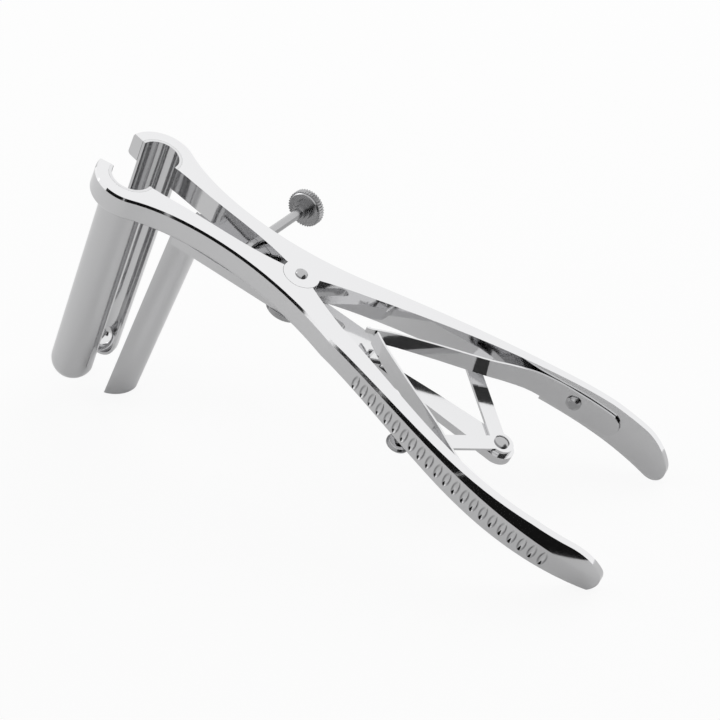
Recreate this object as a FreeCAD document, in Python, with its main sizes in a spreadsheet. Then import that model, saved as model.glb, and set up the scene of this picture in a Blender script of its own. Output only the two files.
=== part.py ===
import FreeCAD, Part
import math
import os
import Sketcher
from FreeCAD import Placement, Rotation, Vector

# Three-blade speculum. Everything is drawn in the instrument's own flat frame:
# origin on the pivot at the levers' top face, +X to the handles, far side +Y,
# blades down. One shared placement then stands it on its handles and third blade.

doc = FreeCAD.newDocument("three_blade_speculum")
sheet = doc.addObject("Spreadsheet::Sheet", "Sizes")

SIZES = {
    # Rest pose and the lever forgings
    "closing_angle": (7.4, "degrees each lever turns from rest until the blades close"),
    "lever_height": (7.8, "height of head, arm and pivot"),
    "top_bevel_wide": (0.35, "outer top bevel seen from above"),
    "top_bevel_tall": (0.9, "outer top bevel seen from the side"),
    "under_round": (1.1, "rounding of the arm's outer lower edge"),
    # Pivot and lap joint
    "ear_radius": (5.7, "radius of each lap ear"),
    "lap_gap": (0.05, "height between the two ears"),
    "ear_side_gap": (0.1, "radial room of an ear in its pocket"),
    "pivot_radius": (1.5, "pivot shank"),
    "running_gap": (0.05, "radial clearance of every turning pin"),
    "pivot_head_radius": (1.9, "pivot screw head"),
    "pivot_head_rim": (0.3, "height of the head's rim"),
    "pivot_head_rise": (0.9, "height of the dome above its rim"),
    "nut_radius": (6.2, "flat round nut under the bar"),
    "nut_tall": (1.5, "thickness of that nut"),
    "face_gap": (0.1, "height between sliding faces"),
    # Blades of the two levers
    "blade_x": (58.3, "closed blades' axis in front of the pivot"),
    "blade_radius": (7.1, "outer radius of the near and far blade"),
    "blade_wall": (0.9, "sheet thickness of the blades"),
    "blade_drop": (79.2, "depth of the nose centre below the top face"),
    "blade_lean": (2.6, "forward lean of the nose towards the pivot"),
    "seam_gap": (0.12, "half of the gap between the closed blades"),
    "braze_gap": (0.05, "radial room of a blade in its collar"),
    "collar_x": (57.5, "collar arc centre in front of the pivot"),
    "collar_y": (7.5, "collar arc centre beside the centre plane"),
    "collar_radius": (11.3, "outer radius of the collar"),
    "collar_tip_angle": (171.0, "direction of the collar's tip from its centre"),
    "collar_root_angle": (60.0, "direction in which the collar leaves for the arm"),
    # Arm outline stations
    "cusp_x": (50.6, "inner cusp between collar and arm"),
    "cusp_y": (6.85, "inner cusp"),
    "throat_x": (46.8, "narrowest flare behind the collar"),
    "throat_outer": (14.6, "arm's outer side there"),
    "throat_inner": (6.45, "arm's inner side there"),
    "neck_x": (38.0, "neck station"),
    "neck_outer": (11.6, "arm's outer side at the neck"),
    "neck_inner": (5.3, "arm's inner side at the neck"),
    "waist_x": (20.0, "waist station"),
    "waist_outer": (9.3, "arm's outer side at the waist"),
    "waist_inner": (3.6, "arm's inner side at the waist"),
    "crotch_x": (6.0, "front crotch of the ears"),
    "crotch_y": (1.0, "front crotch of the ears"),
    "pivot_outer": (11.0, "arm's outer side beside the pivot"),
    "heel_x": (4.8, "rear corner of the ears"),
    "heel_y": (1.9, "rear corner of the ears"),
    "fork_x": (12.0, "fork station behind the pivot"),
    "fork_inner": (5.7, "arm's inner side at the fork"),
    # Handle stations: outer half width, wall, top and bottom, bevel
    "shoulder_x": (20.0, "where the arm becomes the handle"),
    "shoulder_outer": (16.7, "half width over the shoulders"),
    "shoulder_wall": (7.4, "handle wall there"),
    "mid_x": (54.0, "handle station over the link pins"),
    "mid_outer": (27.0, "half width there"),
    "mid_wall": (4.8, "handle wall there"),
    "mid_top": (0.6, "handle top above the arms' top"),
    "mid_bottom": (9.3, "handle bottom below the arms' top"),
    "rear_x": (78.0, "rear handle station"),
    "rear_outer": (32.4, "half width there"),
    "rear_wall": (3.5, "handle wall there"),
    "rear_top": (0.9, "handle top there"),
    "rear_bottom": (11.0, "handle bottom there"),
    "belly_x": (97.0, "widest station"),
    "belly_outer": (33.8, "half width there"),
    "belly_wall": (3.0, "handle wall there"),
    "belly_top": (2.0, "handle top there"),
    "tail_x": (119.5, "last station of the handle"),
    "tail_outer": (29.5, "half width there"),
    "tail_wall": (2.6, "handle wall there"),
    "bevel_wide": (0.6, "outer top bevel of the handle"),
    "mid_bevel": (1.3, "bevel height at the middle"),
    "rear_bevel": (2.4, "bevel height at the rear"),
    "belly_bevel": (4.2, "bevel height at the belly"),
    "tail_bevel": (6.5, "bevel height at the end"),
    "shoulder_round": (0.77, "outer lower bevel where the arm becomes the handle"),
    "side_round": (1.4, "handle's outer lower bevel"),
    "grip_over": (1.0, "length of the grip's last section beyond its rounded end"),
    "end_radius": (5.2, "side rounding of the handle's end"),
    "end_x": (116.2, "centre of that rounding"),
    "end_z": (6.2, "depth of that centre"),
    "end_slope": (45.0, "where the end's rounding meets the long curve of its top, in degrees"),
    # Grip grooves: scoops along the handle's outer side
    "groove_first_x": (33.4, "first groove behind the pivot"),
    "groove_pitch": (3.4, "from groove to groove"),
    "groove_count": (22, "grooves on each handle"),
    "groove_half_wide": (0.95, "half width of a scoop"),
    "groove_half_tall": (2.7, "half height of a scoop"),
    "groove_deep": (0.35, "depth of a scoop"),
    "groove_below_bevel": (3.6, "its middle below the bevel"),
    # Centre bar
    "bar_bottom": (13.0, "depth of the bar's lower face"),
    "bar_tall": (3.3, "height of the front plate"),
    "bar_front_x": (38.6, "front end of the bar"),
    "bar_front_half": (8.0, "half width at the front end"),
    "bar_knee_x": (17.0, "station between blade and pivot"),
    "bar_knee_half": (6.5, "half width there"),
    "pad_half": (4.9, "half width of the slotted pad"),
    "pad_front_x": (18.6, "front end of the pad"),
    "pad_rear_x": (30.0, "rear end of the pad"),
    "ramp_x": (34.0, "end of the ramp behind the pad"),
    "slot_front": (12.6, "slot's front end centre before the pivot"),
    "slot_rear": (17.4, "slot's rear end centre behind the pivot"),
    "slot_gap": (0.1, "side room of the pivot in the slot"),
    "tail_neck_half": (1.9, "half width where the tail starts"),
    "tail_mid_x": (52.0, "tail station"),
    "tail_mid_half": (3.4, "half width there"),
    "tail_step": (0.05, "height between the far link and the tail"),
    "tail_tall": (2.7, "thickness of the tail"),
    "bar_lap": (0.5, "how far the slotted pad sinks into the plate"),
    "eye_x": (76.5, "toggle pin behind the pivot"),
    "eye_radius": (4.8, "rear eye of the bar"),
    # Third blade
    "third_x": (39.8, "third blade's axis in front of the pivot"),
    "third_radius": (7.2, "outer radius at the root"),
    "third_end_radius": (6.8, "outer radius at the end"),
    "third_wall": (1.0, "sheet thickness"),
    "third_lean": (1.2, "lean of its end away from the pivot"),
    "third_depth": (85.0, "depth of its two end corners"),
    "third_end_rise": (2.8, "how much shorter the trough's middle is"),
    # Toggle links
    "link_end_x": (53.1, "link's handle end behind the pivot"),
    "link_end_y": (24.9, "link's handle end beside the centre plane"),
    "pin_offset_x": (0.77, "handle bore ahead of the pin at rest"),
    "pin_offset_y": (0.43, "handle bore inside of the pin at rest"),
    "link_thick": (0.9, "link sheet"),
    "link_half": (2.5, "half width of a link"),
    "link_eye": (3.8, "eye radius at the toggle screw"),
    "link_foot": (3.0, "eye radius at the handle"),
    "link_step": (0.05, "height between stacked sheets"),
    "link_pin_radius": (1.5, "pin through the link"),
    "pin_tip_radius": (1.0, "pin tip inside the handle"),
    "pin_bore_radius": (2.0, "hidden bore in the handle"),
    "pin_depth": (4.0, "pin tip above the seat"),
    "pin_tip_room": (1.0, "height of the bore above the pin"),
    "seat_depth": (8.95, "link seat under the handle"),
    "seat_front": (7.0, "seat ahead of the pin"),
    "seat_open": (5.0, "the seat's open side ends behind the pin"),
    "seat_rear": (24.0, "seat behind the pin"),
    "seat_rim": (1.5, "wall left outside of the seat there"),
    "toggle_head_radius": (2.3, "domed toggle screw head"),
    "toggle_head_tall": (1.2, "its height"),
    "dome_radius": (3.5, "domed heads under the handles"),
    "dome_tall": (1.7, "their height"),
    "toggle_nut_radius": (3.2, "nut under the rear eye"),
    "toggle_nut_tall": (1.2, "its thickness"),
    # Leaf springs
    "spring_thick": (1.0, "spring sheet"),
    "spring_top": (1.0, "depth of the springs' top edge"),
    "spring_front_bottom": (7.5, "depth of the lower edge in front"),
    "spring_rear_bottom": (10.2, "depth of the lower edge at the screw"),
    "spring_knee_x": (66.0, "where the lower edge passes over the links"),
    "spring_link_gap": (0.15, "its height over the links there"),
    "spring_tail_x": (98.6, "where the tail's rounding starts"),
    "spring_tail_round": (4.0, "length of that rounding"),
    "spring_tail_rise": (1.0, "rise of the lower edge to the rounding"),
    "spring_seat_gap": (0.05, "room between spring and handle"),
    "far_tip_x": (25.0, "tip of the far spring"),
    "far_tip_y": (2.0, "its reach past the centre plane"),
    "near_tip_x": (25.6, "tip of the near spring"),
    "near_tip_y": (1.9, "its reach past the centre plane"),
    "cross_x": (29.0, "where the springs cross"),
    "cross_y": (0.9, "their bend there"),
    "bow_x": (34.0, "station behind the crossing"),
    "bow_y": (4.4, "spring beside the centre plane there"),
    "free_x": (45.0, "middle of the free length"),
    "free_y": (10.7, "spring beside the centre plane there"),
    "lift_x": (60.0, "end of the free length"),
    "lift_y": (19.3, "spring beside the centre plane there"),
    "touch_x": (73.0, "where the spring nears the handle"),
    "touch_gap": (0.4, "its gap to the handle there"),
    "flat_x": (80.0, "where the spring lies on the handle"),
    "rear_flat_x": (95.0, "station behind the screw"),
    "tongue_low": (5.4, "depth of the tongue's lower edge"),
    "tongue_high": (3.1, "depth of the tongue's upper edge"),
    "tongue_root_x": (30.6, "where the tongue starts"),
    "window_x": (25.9, "front end of the window"),
    "window_long": (4.6, "length of the window along X"),
    "window_gap": (0.3, "room round the tongue in the window"),
    "spring_screw_x": (86.7, "spring screw behind the pivot"),
    "spring_screw_z": (5.0, "depth of the spring screw"),
    "spring_screw_radius": (1.2, "its shank"),
    "spring_screw_bite": (2.2, "its depth in the handle"),
    "spring_head_radius": (2.4, "its head"),
    "spring_head_tall": (1.1, "its height"),
    # Thumb screw
    "thumb_x": (17.5, "thumb screw in front of the pivot at y 9"),
    "thumb_y": (9.0, "where its place is taken"),
    "thumb_z": (3.5, "depth of its axis"),
    "thumb_angle": (4.6, "turn of its axis from Y"),
    "thumb_radius": (1.5, "shank"),
    "thumb_reach": (12.15, "tip inside that place"),
    "thumb_hub_start": (17.6, "hub's inner end outside that place"),
    "thumb_hub_radius": (2.2, "hub"),
    "thumb_collar_start": (19.4, "stepped collar on the hub"),
    "thumb_collar_radius": (3.1, "that collar"),
    "thumb_disc_start": (21.0, "disc's inner face outside that place"),
    "thumb_disc_thick": (3.0, "disc"),
    "thumb_disc_radius": (6.0, "disc"),
    "thumb_disc_bevel": (0.4, "bevel of its rims"),
    "thumb_dish_radius": (4.4, "dished face"),
    "thumb_dish_deep": (0.7, "depth of the dish"),
}


for row, (alias, (value, note)) in enumerate(SIZES.items(), start=1):
    sheet.set(f"A{row}", alias)
    sheet.set(f"B{row}", str(value))
    sheet.setAlias(f"B{row}", alias)
    sheet.set(f"C{row}", note)
doc.recompute()


def size(name):
    return float(sheet.get(name))


# The stance: handle ends and the third blade's lower edge touch the same floor.

third_low_x = -size("third_x") - size("third_lean") + size("third_end_radius")
reach = size("end_x") - third_low_x
drop = size("third_depth") - size("third_end_rise") - size("end_z")
stance_angle = math.degrees(math.atan2(drop, reach) - math.asin(size("end_radius") / math.hypot(reach, drop)))
TURN = Placement(Vector(0, 0, 0), Rotation(Vector(0, 1, 0), stance_angle))

parts = []


def hand_over(thing, label, local=None):
    """Give a finished piece its name; its place in the flat frame is kept for the stance."""
    thing.Label = label
    parts.append((thing, local or Placement()))
    return thing


# Small drawing helpers for sketches whose corners are tied to the sheet

def origin_plane(body, role):
    return next(item for item in body.Origin.OriginFeatures if item.Role == role)


def corner_sketch(body, name, role, corners, height="0"):
    """A closed outline; a corner's third entry makes the side that leaves it an arc of that radius."""
    sketch = body.newObject("Sketcher::SketchObject", name)
    sketch.AttachmentSupport = (origin_plane(body, role), "")
    sketch.MapMode = "FlatFace"
    sketch.setExpression("AttachmentOffset.Base.z", height)
    values = [[float(sheet.evalExpression(entry)) for entry in corner[:2]] for corner in corners]
    places = [Vector(across, up, 0) for across, up in values]
    count = len(corners)
    ends = []
    for index, corner in enumerate(corners):
        start = places[index]
        stop = places[(index + 1) % count]
        if len(corner) == 2:
            ends.append((sketch.addGeometry(Part.LineSegment(start, stop)), 1, 2))
            continue
        radius = float(sheet.evalExpression(corner[2]))
        centre, low, high = arc_centre(start, stop, radius)
        circle = Part.Circle(centre, Vector(0, 0, 1), abs(radius))
        item = sketch.addGeometry(Part.ArcOfCircle(circle, low, high))
        ends.append((item, 1, 2) if radius > 0 else (item, 2, 1))
        rule = sketch.addConstraint(Sketcher.Constraint("Radius", item, abs(radius)))
        sketch.setExpression(f"Constraints[{rule}]", f"abs({corner[2]})")
    for index, (item, _, stop_point) in enumerate(ends):
        following, start_point, _ = ends[(index + 1) % count]
        sketch.addConstraint(Sketcher.Constraint("Coincident", item, stop_point, following, start_point))
    for index, corner in enumerate(corners):
        item, start_point, _ = ends[index]
        place = places[index]
        for kind, expression, value in (("DistanceX", corner[0], place.x), ("DistanceY", corner[1], place.y)):
            rule = sketch.addConstraint(Sketcher.Constraint(kind, -1, 1, item, start_point, value))
            sketch.setExpression(f"Constraints[{rule}]", expression)
    return sketch


def arc_centre(start, stop, radius):
    """Centre and end angles of the shorter arc; a positive radius turns left on the way."""
    chord = stop - start
    half = chord.Length / 2
    rise = math.sqrt(max(radius * radius - half * half, 0))
    side = Vector(-chord.y, chord.x, 0).normalize() * (rise if radius > 0 else -rise)
    centre = (start + stop) / 2 + side
    first, last = (start, stop) if radius > 0 else (stop, start)
    low = math.atan2(first.y - centre.y, first.x - centre.x)
    high = math.atan2(last.y - centre.y, last.x - centre.x)
    if high <= low:
        high += 2 * math.pi
    return centre, low, high


def circle_sketch(body, name, role, centre_x, centre_y, radius, height="0"):
    sketch = body.newObject("Sketcher::SketchObject", name)
    sketch.AttachmentSupport = (origin_plane(body, role), "")
    sketch.MapMode = "FlatFace"
    sketch.setExpression("AttachmentOffset.Base.z", height)
    value_x = float(sheet.evalExpression(centre_x))
    value_y = float(sheet.evalExpression(centre_y))
    value_r = float(sheet.evalExpression(radius))
    item = sketch.addGeometry(Part.Circle(Vector(value_x, value_y, 0), Vector(0, 0, 1), value_r))
    for kind, expression, value in (("DistanceX", centre_x, value_x), ("DistanceY", centre_y, value_y)):
        rule = sketch.addConstraint(Sketcher.Constraint(kind, -1, 1, item, 3, value))
        sketch.setExpression(f"Constraints[{rule}]", expression)
    rule = sketch.addConstraint(Sketcher.Constraint("Radius", item, value_r))
    sketch.setExpression(f"Constraints[{rule}]", radius)
    return sketch


def pad(body, sketch, name, length):
    feature = body.newObject("PartDesign::Pad", name)
    feature.Profile = sketch
    feature.setExpression("Length", length)
    return feature


def through_pocket(body, sketch, name):
    feature = body.newObject("PartDesign::Pocket", name)
    feature.Profile = sketch
    feature.Type = 1
    feature.Midplane = True
    return feature


def turned_piece(label, corners, local=None):
    """A piece of revolution about its own Z, from half a section drawn in X (radius) and Z (height)."""
    body = doc.addObject("PartDesign::Body", label + "_body")
    sketch = corner_sketch(body, label + "_section", "XZ_Plane", corners)
    feature = body.newObject("PartDesign::Revolution", label + "_turning")
    feature.Profile = sketch
    feature.ReferenceAxis = (sketch, ["V_Axis"])
    feature.Angle = 360
    return hand_over(body, label, local)


def curve_through(points):
    curve = Part.BSplineCurve()
    curve.interpolate(points)
    return curve


def mirrored(shape):
    return shape.mirror(Vector(0, 0, 0), Vector(0, 1, 0))


# Lever forgings. The far lever is drawn; the near one mirrors it but for the ears.

class Stations:
    """A handle size that runs smoothly through its named stations along X."""

    def __init__(self, names, values):
        places = [size(name) for name in names]
        points = [Vector(place, value, 0) for place, value in zip(places, values)]
        self.curve = Part.BSplineCurve()
        self.curve.interpolate(Points=points, Parameters=places)

    def at(self, place):
        return self.curve.value(place).y


HANDLE = ("shoulder_x", "mid_x", "rear_x", "belly_x", "tail_x")
HANDLE_OUTER = ("shoulder_outer", "mid_outer", "rear_outer", "belly_outer", "tail_outer")
HANDLE_WALL = ("shoulder_wall", "mid_wall", "rear_wall", "belly_wall", "tail_wall")
HANDLE_TOP = ("mid_top", "rear_top", "belly_top", "belly_top")
HANDLE_BOTTOM = ("lever_height", "mid_bottom", "rear_bottom")
HANDLE_BEVEL = ("top_bevel_tall", "mid_bevel", "rear_bevel", "belly_bevel", "tail_bevel")
HANDLE_END_BOTTOM = -(size("end_z") + size("end_radius"))
GRIP_SECTIONS = 9
handle_outer = Stations(HANDLE, [size(name) for name in HANDLE_OUTER])
handle_wall = Stations(HANDLE, [size(name) for name in HANDLE_WALL])
handle_top = Stations(HANDLE, [0] + [size(name) for name in HANDLE_TOP])
handle_bottom = Stations(HANDLE, [-size(name) for name in HANDLE_BOTTOM] + [HANDLE_END_BOTTOM] * 2)
bevel_tall = Stations(HANDLE, [size(name) for name in HANDLE_BEVEL])
bevel_wide = Stations(HANDLE, [size("top_bevel_wide")] + [size("bevel_wide")] * 4)
lower_round = Stations(HANDLE, [size("shoulder_round")] + [size("side_round")] * 4)


def handle_section(place):
    outer = handle_outer.at(place)
    inner = outer - handle_wall.at(place)
    top = handle_top.at(place)
    bottom = handle_bottom.at(place)
    cut = lower_round.at(place)
    corners = [
        Vector(place, inner, top),
        Vector(place, outer - bevel_wide.at(place), top),
        Vector(place, outer, top - bevel_tall.at(place)),
        Vector(place, outer, bottom + cut),
        Vector(place, outer - cut, bottom),
        Vector(place, inner, bottom),
    ]
    return Part.makePolygon(corners + corners[:1])


def handle_solid():
    """The grip lofted through its sections, its end rounded in side view."""
    start = size("shoulder_x")
    end = size("end_x") + size("end_radius") + size("grip_over")
    run = (end - start) / (GRIP_SECTIONS - 1)
    sections = [handle_section(start + number * run) for number in range(GRIP_SECTIONS)]
    grip = Part.makeLoft(sections, True, False)
    radius = size("end_radius")
    centre = Vector(size("end_x"), 0, -size("end_z"))
    turn = math.radians(size("end_slope"))
    top = size("belly_top")
    long_radius = (top - centre.z - radius * math.cos(turn)) / (1 - math.cos(turn))
    long_centre = centre - Vector(math.sin(turn), 0, math.cos(turn)) * (long_radius - radius)
    meeting = centre + Vector(math.sin(turn), 0, math.cos(turn)) * radius
    half_way = long_centre + Vector(math.sin(turn / 2), 0, math.cos(turn / 2)) * long_radius
    crest = Vector(long_centre.x, 0, top)
    bottom = Vector(centre.x, 0, centre.z - radius)
    rear = Vector(centre.x + radius, 0, centre.z)
    over = Vector(0, 0, top)
    under = Vector(0, 0, bottom.z)
    outline = Part.Wire([
        Part.LineSegment(over, crest).toShape(),
        Part.Arc(crest, half_way, meeting).toShape(),
        Part.Arc(meeting, rear, bottom).toShape(),
        Part.LineSegment(bottom, under).toShape(),
        Part.LineSegment(under, over).toShape(),
    ])
    side = Part.Face(outline).extrude(Vector(0, 3 * size("belly_outer"), 0))
    return grip.common(side)


def grip_scoops():
    """Spindles whose bellies graze the handle's outer side, one for each grip groove."""
    half_wide = size("groove_half_wide")
    deep = size("groove_deep")
    belly = (half_wide ** 2 + deep ** 2) / (2 * deep)
    reach_z = size("groove_half_tall") / math.sqrt(1 - ((belly - deep) / belly) ** 2)
    scoops = []
    for number in range(int(size("groove_count"))):
        place = size("groove_first_x") + number * size("groove_pitch")
        ahead = Vector(place, handle_outer.at(place), 0)
        slope = handle_outer.at(place + belly) - handle_outer.at(place - belly)
        outward = Vector(-slope, 2 * belly, 0).normalize()
        middle = ahead + outward * (belly - deep)
        middle.z = handle_top.at(place) - bevel_tall.at(place) - size("groove_below_bevel")
        half = Part.Ellipse(Vector(0, 0, 0), reach_z, belly)
        arc = Part.ArcOfEllipse(half, 0, math.pi).toShape()
        section = Part.Face(Part.Wire([arc, Part.LineSegment(Vector(-reach_z, 0, 0), Vector(reach_z, 0, 0)).toShape()]))
        spindle = section.revolve(Vector(0, 0, 0), Vector(1, 0, 0), 360)
        spindle.Placement = Placement(middle, Rotation(Vector(1, 0, 0), Vector(0, 0, 1)))
        scoops.append(spindle)
    return Part.makeCompound(scoops)


def blade_line():
    """Root point and direction of the far blade's axis in the rest pose."""
    root = Vector(-size("blade_x"), 0, 0)
    nose = Vector(-size("blade_x") + size("blade_lean"), 0, -size("blade_drop"))
    turn = Rotation(Vector(0, 0, 1), -size("closing_angle"))
    root = turn.multVec(root)
    nose = turn.multVec(nose)
    return root, nose


def arm_outline(height, inset):
    """Outline of head and arm at a height, its outer side drawn in by an inset."""
    def at(x_name, y_name, sign=-1, pull=0.0):
        return Vector(sign * size(x_name), size(y_name) - pull, height)

    centre = Vector(-size("collar_x"), size("collar_y"), height)
    radius = size("collar_radius") - inset

    def on_collar(angle):
        turn = math.radians(angle)
        return centre + Vector(math.cos(turn), math.sin(turn), 0) * radius

    tip = on_collar(size("collar_tip_angle"))
    root = on_collar(size("collar_root_angle"))
    inner_reach = size("blade_x") + size("blade_radius") - size("blade_wall")
    tip_inner = Vector(-inner_reach, inner_reach * math.tan(math.radians(size("closing_angle"))), height)
    outer_shoulder = at("shoulder_x", "shoulder_outer", 1, inset)
    inner_shoulder = at("shoulder_x", "shoulder_outer", 1, size("shoulder_wall"))
    outer = [root] + [at(place + "_x", place + "_outer", -1, inset) for place in ("throat", "neck", "waist")]
    outer += [Vector(0, size("pivot_outer") - inset, height), outer_shoulder]
    rear = [inner_shoulder, at("fork_x", "fork_inner", 1), at("heel_x", "heel_y", 1)]
    front = [at("crotch_x", "crotch_y")]
    front += [at(place + "_x", place + "_inner") for place in ("waist", "neck", "throat")]
    front.append(at("cusp_x", "cusp_y"))
    return Part.Wire([
        Part.LineSegment(tip_inner, tip).toShape(),
        Part.Arc(tip, on_collar(90), root).toShape(),
        curve_through(outer).toShape(),
        Part.LineSegment(outer_shoulder, inner_shoulder).toShape(),
        curve_through(rear).toShape(),
        Part.LineSegment(rear[-1], front[0]).toShape(),
        curve_through(front).toShape(),
        Part.LineSegment(front[-1], tip_inner).toShape(),
    ])


def arm_solid():
    """Head and arm as one forged plate: its outer side rounded below and bevelled above."""
    bevel_foot = -size("top_bevel_tall")
    low = -size("lever_height")
    plate = Part.Face(arm_outline(low, 0)).extrude(Vector(0, 0, bevel_foot - low))
    rounded = []
    for edge in plate.Edges:
        middle = edge.valueAt((edge.FirstParameter + edge.LastParameter) / 2)
        outside = middle.y > size("collar_y") + size("under_round")
        if outside and edge.BoundBox.ZMax < low + size("lap_gap") and edge.Length > size("collar_radius"):
            rounded.append(edge)
    plate = plate.makeFillet(size("under_round"), rounded)
    bevelled = Part.makeLoft([arm_outline(bevel_foot, 0), arm_outline(0, size("top_bevel_wide"))], True, True)
    return plate.fuse(bevelled)


def lever(upper_ear):
    """One lever in the far position. The upper or the lower half of its root carries the ear."""
    height = size("lever_height")
    middle = -height / 2
    gap = size("lap_gap") / 2
    plate = arm_solid()
    if upper_ear:
        ear_low, ear_high = middle + gap, 0
        cut_low, cut_high = 2 * middle - height, middle + gap
    else:
        ear_low, ear_high = -height, middle - gap
        cut_low, cut_high = middle - gap, height
    up = Vector(0, 0, 1)
    ear = Part.makeCylinder(size("ear_radius"), ear_high - ear_low, Vector(0, 0, ear_low), up)
    pocket_radius = size("ear_radius") + size("ear_side_gap")
    pocket = Part.makeCylinder(pocket_radius, cut_high - cut_low, Vector(0, 0, cut_low), up)
    handle = handle_solid().cut(grip_scoops())
    solid = plate.fuse(handle).cut(pocket).fuse(ear)
    bore_radius = size("pivot_radius") + size("running_gap")
    bore = Part.makeCylinder(bore_radius, 3 * height, Vector(0, 0, -2 * height), up)
    root, nose = blade_line()
    seat_radius = size("blade_radius") + size("braze_gap")
    direction = nose - root
    collar_bore = Part.makeCylinder(seat_radius, 3 * height, root - direction.normalize() * height, direction)
    solid = solid.cut(bore).cut(collar_bore)
    solid = solid.cut(link_seat())
    hole_x = size("link_end_x") + size("pin_offset_x")
    hole_y = size("link_end_y") - size("pin_offset_y")
    hole_place = Vector(hole_x, hole_y, -size("seat_depth"))
    hole_deep = size("pin_depth") + size("pin_tip_room")
    pin_room = Part.makeCylinder(size("pin_bore_radius"), hole_deep, hole_place, up)
    solid = solid.cut(pin_room)
    screw_place, inward = spring_screw_line()
    screw_depth = size("spring_screw_bite") + size("face_gap")
    screw_radius = size("spring_screw_radius") + size("braze_gap")
    solid = solid.cut(Part.makeCylinder(screw_radius, screw_depth, screw_place, -inward))
    if upper_ear:
        tip, along = thumb_line()
        thumb_radius = size("thumb_radius") + size("running_gap")
        solid = solid.cut(Part.makeCylinder(thumb_radius, 3 * size("collar_radius"), tip, along))
    return solid.removeSplitter()


def link_seat():
    """The milled flat under a handle on which the toggle link turns."""
    low = 2 * HANDLE_END_BOTTOM
    front = size("link_end_x") - size("seat_front")
    middle = size("link_end_x") + size("seat_open")
    rear = size("link_end_x") + size("seat_rear")
    corners = [
        Vector(front, 0, low),
        Vector(front, 2 * size("mid_outer"), low),
        Vector(middle, 2 * size("mid_outer"), low),
        Vector(middle, handle_outer.at(middle) - size("seat_rim"), low),
        Vector(rear, handle_outer.at(rear) - size("seat_rim"), low),
        Vector(rear, 0, low),
    ]
    outline = Part.makePolygon(corners + corners[:1])
    return Part.Face(outline).extrude(Vector(0, 0, -size("seat_depth") - low))


def handle_inner_at(place):
    return handle_outer.at(place) - handle_wall.at(place)


def spring_screw_line():
    """Place and inward direction of the spring screw on the far handle's inner face."""
    place = size("spring_screw_x")
    step = 0.5
    slope = (handle_inner_at(place + step) - handle_inner_at(place - step)) / (2 * step)
    inward = Vector(slope, -1, 0).normalize()
    return Vector(place, handle_inner_at(place), -size("spring_screw_z")), inward


def thumb_line():
    """Tip of the thumb screw and its outward direction."""
    turn = math.radians(size("thumb_angle"))
    along = Vector(math.sin(turn), math.cos(turn), 0)
    place = Vector(-size("thumb_x"), size("thumb_y"), -size("thumb_z"))
    return place - along * size("thumb_reach"), along


def plain_piece(label, shape):
    piece = doc.addObject("Part::Feature", label + "_shape")
    piece.Shape = shape
    return hand_over(piece, label)


plain_piece("far_lever", lever(True))
plain_piece("near_lever", mirrored(lever(False)))


# Near and far blade: half a thin tube with a quarter-ball nose, drawn closed and then opened

def blade_solid():
    radius = size("blade_radius")
    inner = radius - size("blade_wall")
    root = Vector(-size("blade_x"), 0, 0)
    nose = Vector(-size("blade_x") + size("blade_lean"), 0, -size("blade_drop"))
    direction = (nose - root).normalize()
    start = root - direction * radius
    length = (nose - start).Length
    tube = Part.makeCylinder(radius, length, start, direction).fuse(Part.makeSphere(radius, nose))
    hollow = Part.makeCylinder(inner, length + 1, start - direction, direction).fuse(Part.makeSphere(inner, nose))
    span = 4 * size("blade_drop")
    keep = Part.makeBox(span, 3 * radius, span, Vector(-span / 2, size("seam_gap"), -span))
    blade = tube.cut(hollow).common(keep)
    return blade.rotated(Vector(0, 0, 0), Vector(0, 0, 1), -size("closing_angle"))


far_blade_shape = blade_solid().removeSplitter()
plain_piece("far_blade", far_blade_shape)
plain_piece("near_blade", mirrored(far_blade_shape))


# Third blade: a square-cut half trough, lofted from its root ring to its end ring

def third_blade():
    body = doc.addObject("PartDesign::Body", "third_blade_body")

    def half_ring(name, axis, outer, height):
        inner = f"({outer} - Sizes.third_wall)"
        corners = [
            (axis, f"-{outer}", outer),
            (f"{axis} + {outer}", "0", outer),
            (axis, outer),
            (axis, inner, f"-{inner}"),
            (f"{axis} + {inner}", "0", f"-{inner}"),
            (axis, f"-{inner}"),
        ]
        return corner_sketch(body, name, "XY_Plane", corners, height)

    top_height = "-(Sizes.bar_bottom - Sizes.bar_tall)"
    root = half_ring("third_root", "-Sizes.third_x", "Sizes.third_radius", top_height)
    end_x = "-(Sizes.third_x + Sizes.third_lean)"
    end = half_ring("third_end", end_x, "Sizes.third_end_radius", "-Sizes.third_depth")
    loft = body.newObject("PartDesign::AdditiveLoft", "third_trough")
    loft.Profile = root
    loft.Sections = [end]
    loft.Ruled = True
    slope = "Sizes.third_end_rise / Sizes.third_end_radius"
    wedge = corner_sketch(body, "third_end_outline", "XZ_Plane", [
        (f"{end_x} - Sizes.third_wall", f"-Sizes.third_depth - Sizes.third_wall * {slope}"),
        (f"{end_x} - Sizes.third_wall", "-2 * Sizes.third_depth"),
        (f"{end_x} + 2 * Sizes.third_end_radius", "-2 * Sizes.third_depth"),
        (f"{end_x} + 2 * Sizes.third_end_radius", "-Sizes.third_depth + 2 * Sizes.third_end_rise"),
    ])
    body.Tip = through_pocket(body, wedge, "third_end_cut")
    return hand_over(body, "third_blade")


third_blade()


# Centre bar: front plate with the third blade's recess, slotted pad, ramp, tail and rear eye

LINK_STACK = "(Sizes.seat_depth + 2 * Sizes.link_step + 2 * Sizes.link_thick)"
TAIL_TOP = f"({LINK_STACK} + Sizes.tail_step)"


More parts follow.
